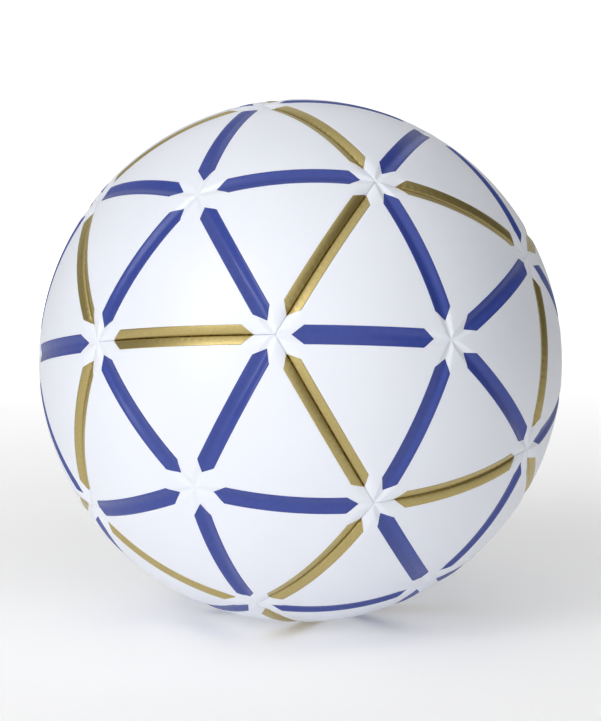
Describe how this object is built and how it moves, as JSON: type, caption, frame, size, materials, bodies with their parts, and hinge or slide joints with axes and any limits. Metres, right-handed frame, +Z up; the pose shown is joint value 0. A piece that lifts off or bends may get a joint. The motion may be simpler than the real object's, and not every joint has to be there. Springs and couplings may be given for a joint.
{
  "type": "stitched sports ball",
  "caption": "Inflated stitched ball for hand play, with pentagonal padded panels split into triangles by shallow blue channels and gold stitched valleys, and a needle valve.",
  "frame": {"origin": "centre of the ball", "axes": "+Z up as the ball lies; +Y out of the needle valve, which faces away from the viewer; +X to the right"},
  "size_m": [0.18, 0.1799, 0.18],
  "materials": {
    "cover_white": "semi-gloss soft grip polyurethane",
    "film_blue": "semi-gloss heat-transfer film",
    "film_gold": "metallic gold heat-transfer film, fine grain",
    "thread": "waxed polyester",
    "pad_foam": "closed-cell foam",
    "lining_cloth": "laminated cotton and polyester cloth",
    "bladder_rubber": "smooth latex",
    "valve_rubber": "matt rubber"
  },
  "bodies": {
    "root": {"cover_skin_01": "cover_white", "cover_skin_02": "cover_white", "cover_skin_03": "cover_white", "cover_skin_04": "cover_white", "cover_skin_05": "cover_white", "cover_skin_06": "cover_white", "cover_skin_07": "cover_white", "cover_skin_08": "cover_white", "cover_skin_09": "cover_white", "cover_skin_10": "cover_white", "cover_skin_11": "cover_white", "cover_skin_12": "cover_white", "foam_pad_01": "pad_foam", "foam_pad_02": "pad_foam", "foam_pad_03": "pad_foam", "foam_pad_04": "pad_foam", "foam_pad_05": "pad_foam", "foam_pad_06": "pad_foam", "foam_pad_07": "pad_foam", "foam_pad_08": "pad_foam", "foam_pad_09": "pad_foam", "foam_pad_10": "pad_foam", "foam_pad_11": "pad_foam", "foam_pad_12": "pad_foam", "cloth_lining_01": "lining_cloth", "cloth_lining_02": "lining_cloth", "cloth_lining_03": "lining_cloth", "cloth_lining_04": "lining_cloth", "cloth_lining_05": "lining_cloth", "cloth_lining_06": "lining_cloth", "cloth_lining_07": "lining_cloth", "cloth_lining_08": "lining_cloth", "cloth_lining_09": "lining_cloth", "cloth_lining_10": "lining_cloth", "cloth_lining_11": "lining_cloth", "cloth_lining_12": "lining_cloth", "blue_stripe_film": "film_blue", "gold_stripe_film": "film_gold", "needle_thread": "thread", "bobbin_thread": "thread", "bladder": "bladder_rubber", "valve_boot": "valve_rubber", "valve_core": "valve_rubber", "balance_patch": "bladder_rubber"}
  },
  "joints": []
}
